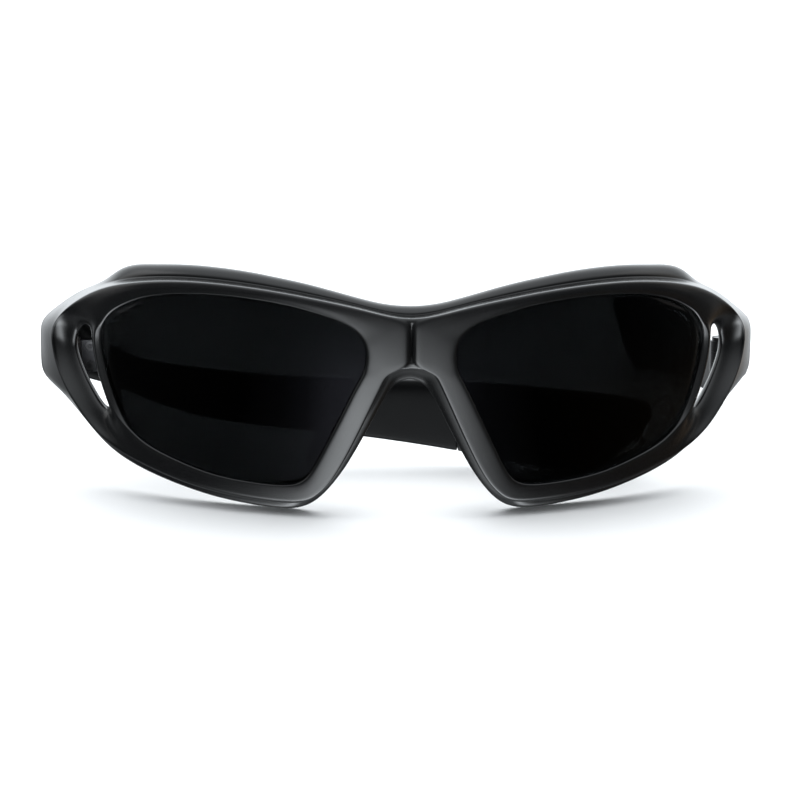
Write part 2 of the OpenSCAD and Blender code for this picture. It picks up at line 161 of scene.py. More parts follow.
# Across the shoulder, from the face plate's edge to the back: share of the way out, and depth.
# Under the lenses the step has the depths of the lower ledge.
stepped = [(0.015, 0.9), (0.03, 1.9), (0.045, 2.9), (0.1, 3.1), (0.3, 3.0), (0.58, 3.3), (0.84, 3.75),
           (1.0, 4.4), (1.0, 5.4)]
lower_ledge = [0.9, 1.9, 2.9, 3.2, 3.2, 3.25, 3.4, 4.3, 5.4]
sloped = [(0.08, 0.9), (0.17, 1.7), (0.27, 2.5), (0.38, 3.2), (0.5, 3.9), (0.63, 4.5), (0.8, 5.05),
          (0.97, 5.45), (1.0, 5.75)]
# Across the back, from the silhouette to the lens: share of the way in
rear_shares = (0.12, 0.33, 0.5, 0.68)


def flat(a):
    """A pair of numbers as a point of the front view."""
    return Vector((a[0], a[1]))


def rim_section(number):
    """The closed section of the rim at one station, as points in millimetres."""
    lens, edge, rim, step = rim_stations[number]
    lens, edge, rim = flat(lens), flat(edge), flat(rim)
    out = (edge - lens).normalized()
    wall = mix(0.32, 1.6, ease(41, 56, lens.x))
    scoop = scoop_depths.get(number, (0.0, 0.0, 0.0))
    flat_face, bevel = face_shapes.get(number, plain_face)
    ledge = ease(0.45, 0.65, bevel)
    if number in slot_stations:
        crest, near = lens + out * wall, lens + out * (wall + 0.45)
        slot_in, slot_out = (flat(p) for p in slot_stations[number])
        face = [(crest, 0.6), (near, 0.15), (slot_in, 1.2), (slot_out, scoop[0]),
                (mix(slot_out, edge, 0.45), scoop[1]), (mix(slot_out, edge, 0.88), scoop[2]), (edge, 0.45)]
    else:
        lip, near = lens + out * mix(0.06, wall, 0.2), lens + out * mix(0.2, wall, 0.6)
        far = edge - out * bevel if edge.x else mix(near, edge, 0.95)
        face = [(lip, mix(0.62, 0.4, flat_face)), (near, mix(0.28, 0.05, flat_face)),
                (mix(near, far, 0.25), mix(0.1, 0.01, flat_face)),
                (mix(near, far, 0.5), scoop[0]), (mix(near, far, 0.78), 0.02 + scoop[1]),
                (far, 0.04 + scoop[2] * 0.5), (edge, 0.27 + 0.17 * ease(0.3, 0.65, bevel))]
    points = [on_wrap(p.x, p.y, depth) for p, depth in face]
    if number in slot_rings:
        crest_at = points[-1]
        end = Vector((rim.x, butt_y, rim.y))
        for share in (0.03, 0.1, 0.25, 0.45, 0.65, 0.82, 0.94):
            points.append(mix(crest_at, end, share) + Vector((0.25 * math.sin(math.pi * share), 0, 0)))
        points.append(Vector((rim.x, butt_y - 0.25, rim.y)))
        inset = (rim - flat((end_x, end_z))) * 0.03
        points.append(Vector((rim.x - inset.x, butt_y, rim.y - inset.y)))
        points.append(Vector((seat_x + 0.2, butt_y, mix(rim.y, end_z, 0.02))))
        rear = [Vector((seat_x, 41.0, rim.y)), on_wrap(65.3, mix(rim.y, slot_out.y, 0.4), front_t),
                on_wrap(slot_out.x, slot_out.y, front_t), on_wrap(slot_in.x, slot_in.y, front_t)]
    else:
        across = rim - edge
        for (share_a, depth_a), (share_b, depth_b), depth_c in zip(sloped, stepped, lower_ledge):
            p = edge + across * mix(share_a, share_b, step)
            depth_b = mix(depth_b, depth_c, ledge)
            points.append(on_wrap(p.x, p.y, mix(depth_a, depth_b, step)))
        inset = rim - (rim - lens).normalized() * 0.45
        if rim.x == 0:
            inset = flat((0, rim.y + (0.45 if rim.y < 30 else -0.45)))
        points.append(on_wrap(inset.x, inset.y, front_t))
        if number in slot_stations:
            across_back = [mix(inset, slot_out, 0.2), mix(inset, slot_out, 0.6), slot_out, slot_in]
        else:
            across_back = [mix(inset, lens, share) for share in rear_shares]
        rear = [on_wrap(p.x, p.y, front_t) for p in across_back]
    inner = lens + out * 0.9
    points += rear
    points.append(on_wrap(inner.x, inner.y, front_t))
    lip = lens + out * 0.3
    points.append(on_wrap(lip.x, lip.y, 5.85))
    points.append(on_wrap(lens.x, lens.y, 5.0))
    points.append(on_wrap(lens.x, lens.y, 1.5))
    return points


def bridge_section(lens, height):
    """The front and back of the bridge at one station between the lens and the parting line."""
    lens, middle = flat(lens), flat((0, height))
    out = (middle - lens).normalized()
    lip, near = lens + out * 0.12, lens + out * 0.3
    far = mix(near, middle, 0.965)
    front = [(lip, 0.4), (near, 0.05), (mix(near, far, 0.25), 0.01), (mix(near, far, 0.5), 0.0),
             (mix(near, far, 0.85), 0.03), (far, 0.15), (middle, 1.4)]
    back = [(middle, front_t)] + [(mix(middle, lens, share), front_t) for share in rear_shares]
    back += [(lens + out * 0.9, front_t), (lens + out * 0.3, 5.85), (lens, 5.0), (lens, 1.5)]
    return [on_wrap(p.x, p.y, d) for p, d in front], [on_wrap(p.x, p.y, d) for p, d in back]


def add_half(build, side):
    """One half of the front as a grid of quads round the lens, open on the middle plane."""
    def vert(p):
        return build.verts.new(placed(side, p.x, p.y, p.z))

    rings = [[vert(p) for p in rim_section(n)] for n in range(len(rim_stations))]
    count = len(rings[0])
    middle = []
    for lens, height in bridge_stations:
        front, back = bridge_section(lens, height)
        gap = [None] * (count - len(front) - len(back))
        middle.append([vert(p) for p in front] + gap + [vert(p) for p in back])
    rings += middle
    for n, ring in enumerate(rings):
        after = rings[(n + 1) % len(rings)]
        for c in range(count):
            d = (c + 1) % count
            corners = [ring[c], ring[d], after[d], after[c]]
            if None in corners:
                continue
            if n in slot_rings and c in (2, 19):
                continue
            if n in (len(rim_stations) - 1, len(rings) - 1) and 6 <= c <= 15:
                continue
            build.faces.new(corners)
        if n in slot_rings:
            build.faces.new([ring[2], after[2], after[20], ring[20]])
            build.faces.new([ring[3], ring[19], after[19], after[3]])
    for n in (slot_rings[0], slot_rings[-1] + 1):
        ring = rings[n]
        build.faces.new([ring[2], ring[3], ring[19], ring[20]])


def finished(build, name, levels=0, sharp=None):
    """Closes a mesh under construction into an object, smoothed and with its faces outwards."""
    bmesh.ops.remove_doubles(build, verts=build.verts, dist=2e-6)
    bmesh.ops.recalc_face_normals(build, faces=build.faces)
    mesh = bpy.data.meshes.new(name)
    build.to_mesh(mesh)
    build.free()
    piece = bpy.data.objects.new(name, mesh)
    bpy.context.scene.collection.objects.link(piece)
    if levels:
        smooth = piece.modifiers.new("smooth", "SUBSURF")
        smooth.levels = smooth.render_levels = levels
        settle(piece)
    mesh = piece.data
    mesh.shade_smooth()
    if sharp:
        mesh.set_sharp_from_angle(angle=math.radians(sharp))
    return piece


def settle(piece):
    """Turns a piece with modifiers into the plain mesh that they give."""
    bpy.context.view_layer.update()
    seen = piece.evaluated_get(bpy.context.evaluated_depsgraph_get())
    mesh = bpy.data.meshes.new_from_object(seen)
    piece.modifiers.clear()
    old = piece.data
    piece.data = mesh
    bpy.data.meshes.remove(old)


build = bmesh.new()
for side in (1, -1):
    add_half(build, side)
front_shell = finished(build, "front_shell", levels=2)

# The pocket behind each end piece, where the front leaf of the hinge lies: its size, the
# distance from the bridge back to its middle, and how far that lies above the hinge's
pocket_w, pocket_d, pocket_h = 10.0, 6.2, 8.1
pocket_back, pocket_up = 39.4, 0.55
for side in (1, -1):
    build = bmesh.new()
    middle = Vector((side * (seat_x - pocket_w / 2), pocket_back + bridge_y, left_hinge.z + pocket_up))
    bmesh.ops.create_cube(build, size=1.0, matrix=Matrix.Translation(middle * mm)
                          @ Matrix.Diagonal((pocket_w * mm, pocket_d * mm, pocket_h * mm, 1.0)))
    bmesh.ops.bevel(build, geom=build.edges, offset=0.35 * mm, segments=3, affect="EDGES", profile=0.5)
    pocket = finished(build, "pocket")
    cut = front_shell.modifiers.new("pocket", "BOOLEAN")
    cut.operation, cut.solver, cut.object = "DIFFERENCE", "EXACT", pocket
    settle(front_shell)
    bpy.data.objects.remove(pocket)
front_shell.data.shade_smooth()
front_shell.data.set_sharp_from_angle(angle=math.radians(48))


def start_finish(name):
    """A new material, its node tree, its shader, and the object's own space to lay patterns in."""
    finish = bpy.data.materials.new(name)
    finish.use_nodes = True
    tree = finish.node_tree
    space = tree.nodes.new("ShaderNodeTexCoord").outputs["Object"]
    return finish, tree, tree.nodes["Principled BSDF"], space


def pattern(tree, space, **settings):
    """Uneven noise laid in a space, with its scale, detail and other settings."""
    noise = tree.nodes.new("ShaderNodeTexNoise")
    noise.noise_dimensions = "4D" if "W" in settings else "3D"
    for setting, value in settings.items():
        noise.inputs[setting].default_value = value
    tree.links.new(space, noise.inputs["Vector"])
    return noise.outputs["Fac"]


def vary_roughness(tree, shader, noise, noise_span, roughness_span):
    """Lets the roughness follow a pattern."""
    tone = tree.nodes.new("ShaderNodeMapRange")
    tone.inputs["From Min"].default_value, tone.inputs["From Max"].default_value = noise_span
    tone.inputs["To Min"].default_value, tone.inputs["To Max"].default_value = roughness_span
    tree.links.new(noise, tone.inputs["Value"])
    tree.links.new(tone.outputs["Result"], shader.inputs["Roughness"])


def vary_colour(tree, shader, noise, colour, darkest, lightest):
    """Lets the colour follow a pattern, between two shares of itself."""
    shade = tree.nodes.new("ShaderNodeMix")
    shade.data_type = "RGBA"
    shade.inputs["A"].default_value = (*[c * darkest for c in colour], 1)
    shade.inputs["B"].default_value = (*[c * lightest for c in colour], 1)
    tree.links.new(noise, shade.inputs["Factor"])
    tree.links.new(shade.outputs["Result"], shader.inputs["Base Color"])


def raise_grain(tree, shader, noise, strength, height):
    """Lifts the surface a hair where a pattern is strong."""
    bump = tree.nodes.new("ShaderNodeBump")
    bump.inputs["Strength"].default_value = strength
    bump.inputs["Distance"].default_value = height
    tree.links.new(noise, bump.inputs["Height"])
    tree.links.new(bump.outputs["Normal"], shader.inputs["Normal"])


def moulded_plastic(name, colour, roughness, shine):
    """Black plastic with a fine moulded grain, faint mottling and light rubbing."""
    finish, tree, shader, space = start_finish(name)
    rubbing = pattern(tree, space, Scale=45.0, Detail=6.0, Roughness=0.65)
    vary_roughness(tree, shader, rubbing, (0.3, 0.7), (roughness - 0.04, roughness + 0.05))
    vary_colour(tree, shader, rubbing, colour, 0.8, 1.25)
    raise_grain(tree, shader, pattern(tree, space, Scale=5200.0, Detail=2.0), 0.2, 0.00002)
    shader.inputs["IOR"].default_value = 1.5
    shader.inputs["Specular IOR Level"].default_value = shine
    return finish


front_plastic = moulded_plastic("front_plastic", (0.0018, 0.0019, 0.0021), 0.23, shine=0.5)
front_shell.data.materials.clear()
front_shell.data.materials.append(front_plastic)
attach(front_shell, "front")
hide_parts("front_frame")


# The lenses are each a thin dark polarizing wafer laminated on a thicker grey base. Both
# are cut to the rim's groove and follow the wrap, with a small ground bevel on the edge.

def smooth_between(a, b, c, d, t):
    """A value or point at a share of the way from b to c, on a smooth line through all four."""
    bow, twist = 2 * a - 5 * b + 4 * c - d, 3 * b - a - 3 * c + d
    return 0.5 * (2 * b + (c - a) * t + bow * t * t + twist * t ** 3)


def smooth_ring(points, steps):
    """A closed line through the points, with this many steps from each to the next."""
    ring = []
    n = len(points)
    for i in range(n):
        around = [points[(i + k) % n] for k in (-1, 0, 1, 2)]
        ring += [smooth_between(*around, k / steps) for k in range(steps)]
    return ring


lens_edge = [flat(s[0]) for s in rim_stations] + [flat(s[0]) for s in bridge_stations]
lens_ring = smooth_ring(lens_edge, 4)
lens_middle = flat((34.5, 24.0))


def grown(ring, by):
    """The ring moved away from the lens's middle by this much."""
    out = []
    n = len(ring)
    for i in range(n):
        along = (ring[(i + 1) % n] - ring[i - 1]).normalized()
        away = Vector((along.y, -along.x))
        if away.dot(ring[i] - lens_middle) < 0:
            away = -away
        out.append(ring[i] + away * by)
    return out


def skin(build, rings):
    """Quads from each ring of points to the next."""
    for a, b in zip(rings, rings[1:]):
        for i in range(len(a)):
            j = (i + 1) % len(a)
            build.faces.new([a[i], a[j], b[j], b[i]])


def lens_piece(name, side, outer, inner):
    """A closed dished plate between two depths, its edge bevelled."""
    build = bmesh.new()
    steps = 12
    edge_bevel = 0.08
    spread = grown(lens_ring, 0.5)
    bevel = grown(lens_ring, 0.5 - edge_bevel)

    def vert(p, depth):
        at = on_wrap(p.x, p.y, depth)
        return build.verts.new(placed(side, at.x, at.y, at.z))

    def ring_at(points, share, depth):
        return [vert(mix(lens_middle, p, share), depth) for p in points]

    rings = [ring_at(bevel, k / steps, outer) for k in range(1, steps + 1)]
    rings.append(ring_at(spread, 1.0, outer + edge_bevel))
    rings.append(ring_at(spread, 1.0, inner - edge_bevel))
    rings += [ring_at(bevel, k / steps, inner) for k in range(steps, 0, -1)]
    skin(build, rings)
    for ring, depth in ((rings[0], outer), (rings[-1], inner)):
        hub = vert(lens_middle, depth)
        for i in range(len(ring)):
            build.faces.new([hub, ring[i], ring[(i + 1) % len(ring)]])
    return finished(build, name, sharp=40)


def dark_glass(name, colour, roughness, seed):
    """Polished tinted lens stock with the faintest haze, smudges and dust."""
    finish, tree, shader, space = start_finish(name)
    smudge = pattern(tree, space, W=seed, Scale=28.0, Detail=5.0, Distortion=0.6)
    vary_roughness(tree, shader, smudge, (0.45, 0.75), (roughness, roughness + 0.02))
    vary_colour(tree, shader, smudge, colour, 0.92, 1.08)
    shader.inputs["Transmission Weight"].default_value = 1.0
    shader.inputs["IOR"].default_value = 1.5
    shader.inputs["Specular Tint"].default_value = (0.05, 0.05, 0.06, 1)
    return finish


wafer_glass = dark_glass("wafer_glass", (0.0046, 0.0051, 0.0052), 0.015, 1.0)
base_glass = dark_glass("base_glass", (0.55, 0.57, 0.58), 0.02, 2.0)
hands = ((1, "left"), (-1, "right"))
for side, hand in hands:
    wafer = lens_piece(hand + "_wafer_sheet", side, 1.4, 1.98)
    base = lens_piece(hand + "_lens_plate", side, 2.02, 3.7)
    for piece, node, glass, slot in ((wafer, "_polarizing_wafer", wafer_glass, "polarizer"),
                                     (base, "_lens_base", base_glass, "lens_base")):
        piece.data.materials.append(glass)
        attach(piece, "front")
        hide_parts(hand + node)


# The nose pads are soft rubber, pressed by two pegs onto a moulded ledge behind each rim.
# The side that meets the nose is cushioned and cut by shallow cross grooves.

pad_l, pad_w, pad_t = 14.0, 7.4, 2.0
# The pad's middle: out from the nose, back from the bridge and up, by the sizes of the nose opening
bridge_w, lens_w, lens_h, lower_rim, nose_rim = 16.6, 49.5, 35.3, 6.3, 6.5
pad_at = Vector((bridge_w / 2 + 0.167 * lens_w - nose_rim + 3.0, front_t + 2.4, lower_rim + 0.16 * lens_h))
pad_turn = (Matrix.Translation(pad_at) @ Matrix.Rotation(math.radians(-27), 4, "Y")
            @ Matrix.Rotation(math.radians(-30), 4, "Z"))


def pad_point(side, x, y, z):
    """A point given from the pad's own middle: x towards the rim, y back and z up along the pad."""
    p = pad_turn @ Vector((x, y, z))
    return placed(side, p.x, p.y, p.z)


def rounded_loop(width, length, corner, steps):
    """The points of a rounded rectangle, from 0 to its width across and centred along its length."""
    loop = []
    for cx, cz, start in ((width - corner, length / 2 - corner, 0), (corner, length / 2 - corner, 90),
                          (corner, -length / 2 + corner, 180), (width - corner, -length / 2 + corner, 270)):
        for k in range(steps + 1):
            a = math.radians(start + 90 * k / steps)
            loop.append((cx + corner * math.cos(a), cz + corner * math.sin(a)))
    return loop


def skin_closed(build, rings):
    """The same as skin, with a face over each end."""
    skin(build, rings)
    for ring in (rings[0], rings[-1]):
        build.faces.new(ring)


def pad_cushion(name, side):
    """The rubber pad: crowned, with rounded edges and shallow grooves across its soft side."""
    build = bmesh.new()
    outline = rounded_loop(pad_w, pad_l, 2.6, 8)
    middle = (pad_w / 2, 0.0)
    # Share of the way out from the middle, and height above the ledge
    profile = [(0.30, pad_t), (0.55, pad_t - 0.02), (0.75, pad_t - 0.1), (0.9, pad_t - 0.32),
               (0.975, pad_t - 0.7), (1.0, pad_t - 1.1), (1.0, 0.25), (0.97, 0.05), (0.9, 0.0)]
    groove_depth, groove_pitch = 0.16, 1.9
    rings = []
    for share, height in profile:
        ring = []
        for y, z in outline:
            py, pz = mix(middle[0], y, share), mix(middle[1], z, share)
            groove = 0.0
            if height > pad_t - 0.5:
                wave = max(0.0, math.cos(2 * math.pi * pz / groove_pitch)) ** 6
                groove = groove_depth * wave * (1 - ease(0.55, 0.95, share))
            ring.append(build.verts.new(pad_point(side, -(height - groove), py, pz)))
        rings.append(ring)
    skin_closed(build, rings)
    return finished(build, name, levels=2)


def soft_rubber(name, colour):
    """Dull black rubber with a fine skin and a little dust."""
    finish, tree, shader, space = start_finish(name)
    vary_colour(tree, shader, pattern(tree, space, Scale=90.0, Detail=5.0), colour, 0.75, 1.4)
    raise_grain(tree, shader, pattern(tree, space, Scale=3000.0, Detail=3.0), 0.35, 0.00004)
    shader.inputs["Roughness"].default_value = 0.62
    shader.inputs["Sheen Weight"].default_value = 0.03
    shader.inputs["Specular IOR Level"].default_value = 0.25
    return finish


pad_rubber = soft_rubber("pad_rubber", (0.006, 0.006, 0.0063))
ledge_t, ledge_l = 2.3, 11.4
# Along the ledge from front to back: place, and how much longer it is there
ledge_stations = ((-2.8, -2.6), (-1.6, -1.6), (0.0, -0.6), (3.0, -0.6), (5.2, -0.9), (6.3, -1.6))
for side, hand in hands:
    pad = pad_cushion(hand + "_pad_cushion", side)
    pad.data.materials.append(pad_rubber)
    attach(pad, "front")
    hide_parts(hand + "_nose_pad")

    build = bmesh.new()
    loops = [(depth, rounded_loop(ledge_t, ledge_l + longer, 0.9, 3)) for depth, longer in ledge_stations]
    skin_closed(build, [[build.verts.new(pad_point(side, x, depth, z)) for x, z in loop]
                        for depth, loop in loops])
    ledge = finished(build, hand + "_pad_ledge", levels=1, sharp=50)
    ledge.data.materials.append(front_plastic)
    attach(ledge, "front")


# The temples are arms moulded in satin black plastic, deep at the hinge and slim in the
# middle, and they bend in at the tip. Each is drawn open and then turned to its rest place.

temple_l, temple_t, tip_in, bend_start, grip_l = 115.0, 4.3, 7.0, 50.0, 38.0
arm_start = hinge_back + butt_gap
grip_start = temple_l - grip_l
end_top, end_low = 32.2, 19.0
# The arm's upper and lower edge: share of its length, and share of the edge's height at the hinge
arm_top = [(0, 1), (0.03, 0.91), (0.05, 0.84), (0.075, 0.76), (0.11, 0.7), (0.16, 0.665), (0.24, 0.63),
           (0.34, 0.59), (0.48, 0.57), (0.62, 0.565), (0.75, 0.55), (0.86, 0.525), (0.94, 0.5),
           (0.985, 0.475), (1, 0.45)]
arm_low = [(0, 1), (0.03, 0.95), (0.06, 0.9), (0.1, 0.82), (0.15, 0.69), (0.22, 0.56), (0.32, 0.46),
           (0.44, 0.38), (0.56, 0.29), (0.66, 0.2), (0.76, 0.1), (0.84, 0.02), (0.87, 0), (0.91, 0.05),
           (0.95, 0.24), (0.98, 0.46), (1, 0.62)]


def along(curve, share):
    """Height share of the arm's edge at a share of its length, on a smooth line through the points."""
    for i in range(len(curve) - 1):
        if share <= curve[i + 1][0] or i == len(curve) - 2:
            break
    around = [curve[min(max(i + k, 0), len(curve) - 1)] for k in (-1, 0, 1, 2)]
    shares, heights = zip(*around)
    low, high = 0.0, 1.0
    for _ in range(24):
        t = (low + high) / 2
        low, high = (t, high) if smooth_between(*shares, t) < share else (low, t)
    return smooth_between(*heights, t)


def bend_at(s):
    """How far the arm has bent in towards the head at a place along it."""
    return tip_in * max(0.0, (s - bend_start) / (temple_l - bend_start)) ** 2


def rest_turn(hand):
    """How the temple stands at rest: fully folded on the side whose hinge opens by turning back."""
    joint = hinges[hand + "_temple_hinge"]
    fold = -min(joint["range_deg"])
    pivot = Vector(joint["pos_m"])
    turned = Matrix.Rotation(math.radians(fold if hand == "left" else -fold), 4, "Z")
    return Matrix.Translation(pivot) @ turned @ Matrix.Translation(-pivot)


def arm_edges(s):
    """Top and bottom of the arm, and its middle plane, at a place along it."""
    share = s / temple_l
    top, low = along(arm_top, share) * end_top, along(arm_low, share) * end_low
    return top, low, seat_x + temple_t / 2 - bend_at(s)


def arm_loop(s, thick, inset, squareness):
    """The section of the arm at a place along it: points (out, up) round the arm."""
    top, low, middle = arm_edges(s)
    top, low = top - inset, low + inset
    height = max(top - low, 0.2)
    loop = []
    for k in range(28):
        a = 2 * math.pi * k / 28
        c, n = math.cos(a), math.sin(a)
        x = math.copysign(abs(c) ** (2 / squareness), c) * thick / 2
        z = math.copysign(abs(n) ** (2 / squareness), n) * height / 2
        loop.append((middle + x, (top + low) / 2 + z))
    return loop


def arm_body(name, hand, side, places, thick, inset, squareness):
    """A closed body along the arm, through places of (distance back, how much fatter), turned to rest."""
    build = bmesh.new()
    loops = [(s, arm_loop(s, thick + 2 * grow, inset - grow, squareness)) for s, grow in places]
    skin_closed(build, [[build.verts.new(placed(side, x, arm_start + s, z)) for x, z in loop]
                        for s, loop in loops])
    bmesh.ops.transform(build, matrix=rest_turn(hand), verts=build.verts)
    return finished(build, name, levels=1, sharp=45)


temple_plastic = moulded_plastic("temple_plastic", (0.0025, 0.0026, 0.0028), 0.36, shine=0.05)
arm_places = [(0.0, -0.25), (0.12, -0.06), (0.4, 0.0)]
arm_places += [(s, 0.0) for s in (1.5, 3, 5, 7.5, 10, 13, 17, 22, 28, 35, 42, 49, 56, 62, 67, 71.5, 75.5)]
arm_places += [(grip_start - 0.35, 0.0), (grip_start - 0.08, -0.1), (grip_start - 0.02, -0.5)]
for side, hand in hands:
    arm = arm_body(hand + "_arm", hand, side, arm_places, temple_t, 0.0, 3.6)
    arm.data.materials.append(temple_plastic)
    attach(arm, hand + "_temple")
    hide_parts(hand + "_temple")


# The grips are soft rubber sleeves over the tips of the arms, a little proud of the
# plastic, with low ribs across both faces that keep the arms from slipping.

grip_rubber = soft_rubber("grip_rubber", (0.0065, 0.0066, 0.007))
grip_t = temple_t + 0.3
grip_places = [(grip_start + 0.02, -0.25), (grip_start + 0.12, -0.02), (grip_start + 0.5, 0.0)]
grip_places += [(s, 0.0) for s in (79, 82, 85, 88, 91, 94, 97, 100, 103, 106, 109, 111.2, 112.8)]
grip_places += [(113.7, 0.0), (114.35, 0.0), (114.65, -0.15), (114.75, -0.6)]
for side, hand in hands:
    grip = arm_body(hand + "_grip_sleeve", hand, side, grip_places, grip_t, -0.02, 3.2)
    grip.data.materials.append(grip_rubber)
    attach(grip, hand + "_temple")
    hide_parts(hand + "_temple_grip")


def new_tree(name, sizes):
    """A geometry node tree with a geometry input, one number input for each named size, and an output."""
    tree = bpy.data.node_groups.new(name, "GeometryNodeTree")
    tree.interface.new_socket("Geometry", in_out="INPUT", socket_type="NodeSocketGeometry")
    for size in sizes:
        tree.interface.new_socket(size, in_out="INPUT", socket_type="NodeSocketFloat")
    tree.interface.new_socket("Geometry", in_out="OUTPUT", socket_type="NodeSocketGeometry")
    return tree, tree.nodes.new("NodeGroupInput"), tree.nodes.new("NodeGroupOutput")


def finish_tree(tree, placed, material, last):
    """Ends the tree: the placed shapes made real and given their material."""
    real = tree.nodes.new("GeometryNodeRealizeInstances")
    coat = tree.nodes.new("GeometryNodeSetMaterial")
    coat.inputs["Material"].default_value = material
    tree.links.new(placed, real.inputs["Geometry"])
    tree.links.new(real.outputs["Geometry"], coat.inputs["Geometry"])
    tree.links.new(coat.outputs["Geometry"], last.inputs["Geometry"])


def grown_on(name, spots, lengths, tree, sizes):
    """A plain mesh grown by the tree on a row of spots, each with a length of its own."""
    mesh = bpy.data.meshes.new(name)
    mesh.from_pydata(spots, [], [])
    each = mesh.attributes.new("length", "FLOAT", "POINT")
    for entry, length in zip(each.data, lengths):
        entry.value = length
    piece = bpy.data.objects.new(name, mesh)
    bpy.context.scene.collection.objects.link(piece)
    grow = piece.modifiers.new("grow", "NODES")
    grow.node_group = tree
    sockets = {item.name: item.identifier for item in tree.interface.items_tree if item.in_out == "INPUT"}
    for size, value in sizes.items():
        grow[sockets[size]] = value
    settle(piece)
    piece.data.shade_smooth()
    piece.data.set_sharp_from_angle(angle=math.radians(40))
    return piece


rib_tree, first, last = new_tree("grip_ribs", ["Rib width", "Rib depth"])
link = rib_tree.links.new
bead = rib_tree.nodes.new("GeometryNodeMeshUVSphere")
bead.inputs["Segments"].default_value, bead.inputs["Rings"].default_value = 12, 8
bead.inputs["Radius"].default_value = 0.5
rib_length = rib_tree.nodes.new("GeometryNodeInputNamedAttribute")
rib_length.data_type = "FLOAT"
rib_length.inputs["Name"].default_value = "length"
rib_size = rib_tree.nodes.new("ShaderNodeCombineXYZ")
place_ribs = rib_tree.nodes.new("GeometryNodeInstanceOnPoints")
link(first.outputs["Rib depth"], rib_size.inputs["X"])
link(first.outputs["Rib width"], rib_size.inputs["Y"])
link(rib_length.outputs["Attribute"], rib_size.inputs["Z"])
link(first.outputs["Geometry"], place_ribs.inputs["Points"])
link(bead.outputs["Mesh"], place_ribs.inputs["Instance"])
link(rib_size.outputs["Vector"], place_ribs.inputs["Scale"])
finish_tree(rib_tree, place_ribs.outputs["Instances"], grip_rubber, last)

rib_count, rib_pitch, first_rib = 12, 2.3, 4.5
rib_sizes = {"Rib width": 1.0 * mm, "Rib depth": 0.6 * mm}
for side, hand in hands:
    spots, lengths = [], []
    for k in range(rib_count):
        s = grip_start + first_rib + rib_pitch * k
        top, low, middle = arm_edges(s)
        for face in (1, -1):
            spots.append(placed(side, middle + face * (grip_t / 2 - 0.2), arm_start + s, (top + low) / 2))
            lengths.append(0.62 * (top - low) * mm)
    ribs = grown_on(hand + "_grip_ribs", spots, lengths, rib_tree, rib_sizes)
    ribs.data.transform(rest_turn(hand))
    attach(ribs, hand + "_temple")


# The hinges are plain steel with three knuckles: a leaf screwed to the front, a leaf
# screwed to the arm, and a slotted screw through the knuckles.

def hinge_metal(name, colour, roughness, streak):
    """Dark plated steel, brushed along one axis where the streak's scales differ."""
    finish, tree, shader, space = start_finish(name)
    lay = tree.nodes.new("ShaderNodeMapping")
    lay.inputs["Scale"].default_value = streak
    tree.links.new(space, lay.inputs["Vector"])
    brushed = pattern(tree, lay.outputs["Vector"], Scale=1.0, Detail=4.0)
    vary_roughness(tree, shader, brushed, (0.0, 1.0), (roughness - 0.06, roughness + 0.12))
    vary_colour(tree, shader, brushed, colour, 0.8, 1.1)
    raise_grain(tree, shader, brushed, 0.2, 0.00001)
    shader.inputs["Metallic"].default_value = 1.0
    return finish


leaf_steel = hinge_metal("leaf_steel", (0.09, 0.09, 0.095), 0.34, (600.0, 600.0, 9000.0))
screw_steel = hinge_metal("screw_steel", (0.1, 0.1, 0.103), 0.3, (3000.0, 3000.0, 3000.0))
for _, hand in hands:
    for node, steel, slot in (("_front_hinge_leaf", leaf_steel, "hinge_steel"),
                              ("_temple_hinge_leaf", leaf_steel, "hinge_steel"),
                              ("_hinge_screw", screw_steel, "screw_steel")):
        piece = frame["nodes"][hand + node]
        piece.data.materials.clear()
        piece.data.materials.append(steel)

screw_tree, first, last = new_tree("leaf_screws", ["Head radius", "Head height", "Shank radius",
                                                   "Shank length", "Recess width", "Turn"])
link = screw_tree.links.new


def disc(sides, radius, height):
    """A round bar that stands on the origin, its radius and height taken from the tree's inputs."""
    part = screw_tree.nodes.new("GeometryNodeMeshCylinder")
    part.inputs["Vertices"].default_value = sides
    link(first.outputs[radius], part.inputs["Radius"])
    link(first.outputs[height], part.inputs["Depth"])
    half = screw_tree.nodes.new("ShaderNodeMath")
    half.operation = "MULTIPLY"
    half.inputs[1].default_value = 0.5
    lift = screw_tree.nodes.new("ShaderNodeCombineXYZ")
    move = screw_tree.nodes.new("GeometryNodeTransform")
    link(first.outputs[height], half.inputs[0])
    link(half.outputs["Value"], lift.inputs["Z"])
    link(part.outputs["Mesh"], move.inputs["Geometry"])
    link(lift.outputs["Vector"], move.inputs["Translation"])
    return move.outputs["Geometry"]


head_and_shank = screw_tree.nodes.new("GeometryNodeJoinGeometry")
cross = screw_tree.nodes.new("GeometryNodeJoinGeometry")
for long_axis in ("X", "Y"):
    bar = screw_tree.nodes.new("GeometryNodeMeshCube")
    bar_size = screw_tree.nodes.new("ShaderNodeCombineXYZ")
    link(first.outputs["Head radius"], bar_size.inputs[long_axis])
    link(first.outputs["Recess width"], bar_size.inputs["Y" if long_axis == "X" else "X"])
    link(first.outputs["Head height"], bar_size.inputs["Z"])
    link(bar_size.outputs["Vector"], bar.inputs["Size"])
    link(bar.outputs["Mesh"], cross.inputs["Geometry"])
cut_cross = screw_tree.nodes.new("GeometryNodeMeshBoolean")
cut_cross.operation = "DIFFERENCE"
link(disc(28, "Head radius", "Head height"), cut_cross.inputs["Mesh 1"])
link(cross.outputs["Geometry"], cut_cross.inputs["Mesh 2"])
link(cut_cross.outputs["Mesh"], head_and_shank.inputs["Geometry"])
link(disc(16, "Shank radius", "Shank length"), head_and_shank.inputs["Geometry"])
screw_turn = screw_tree.nodes.new("ShaderNodeCombineXYZ")
place_screws = screw_tree.nodes.new("GeometryNodeInstanceOnPoints")
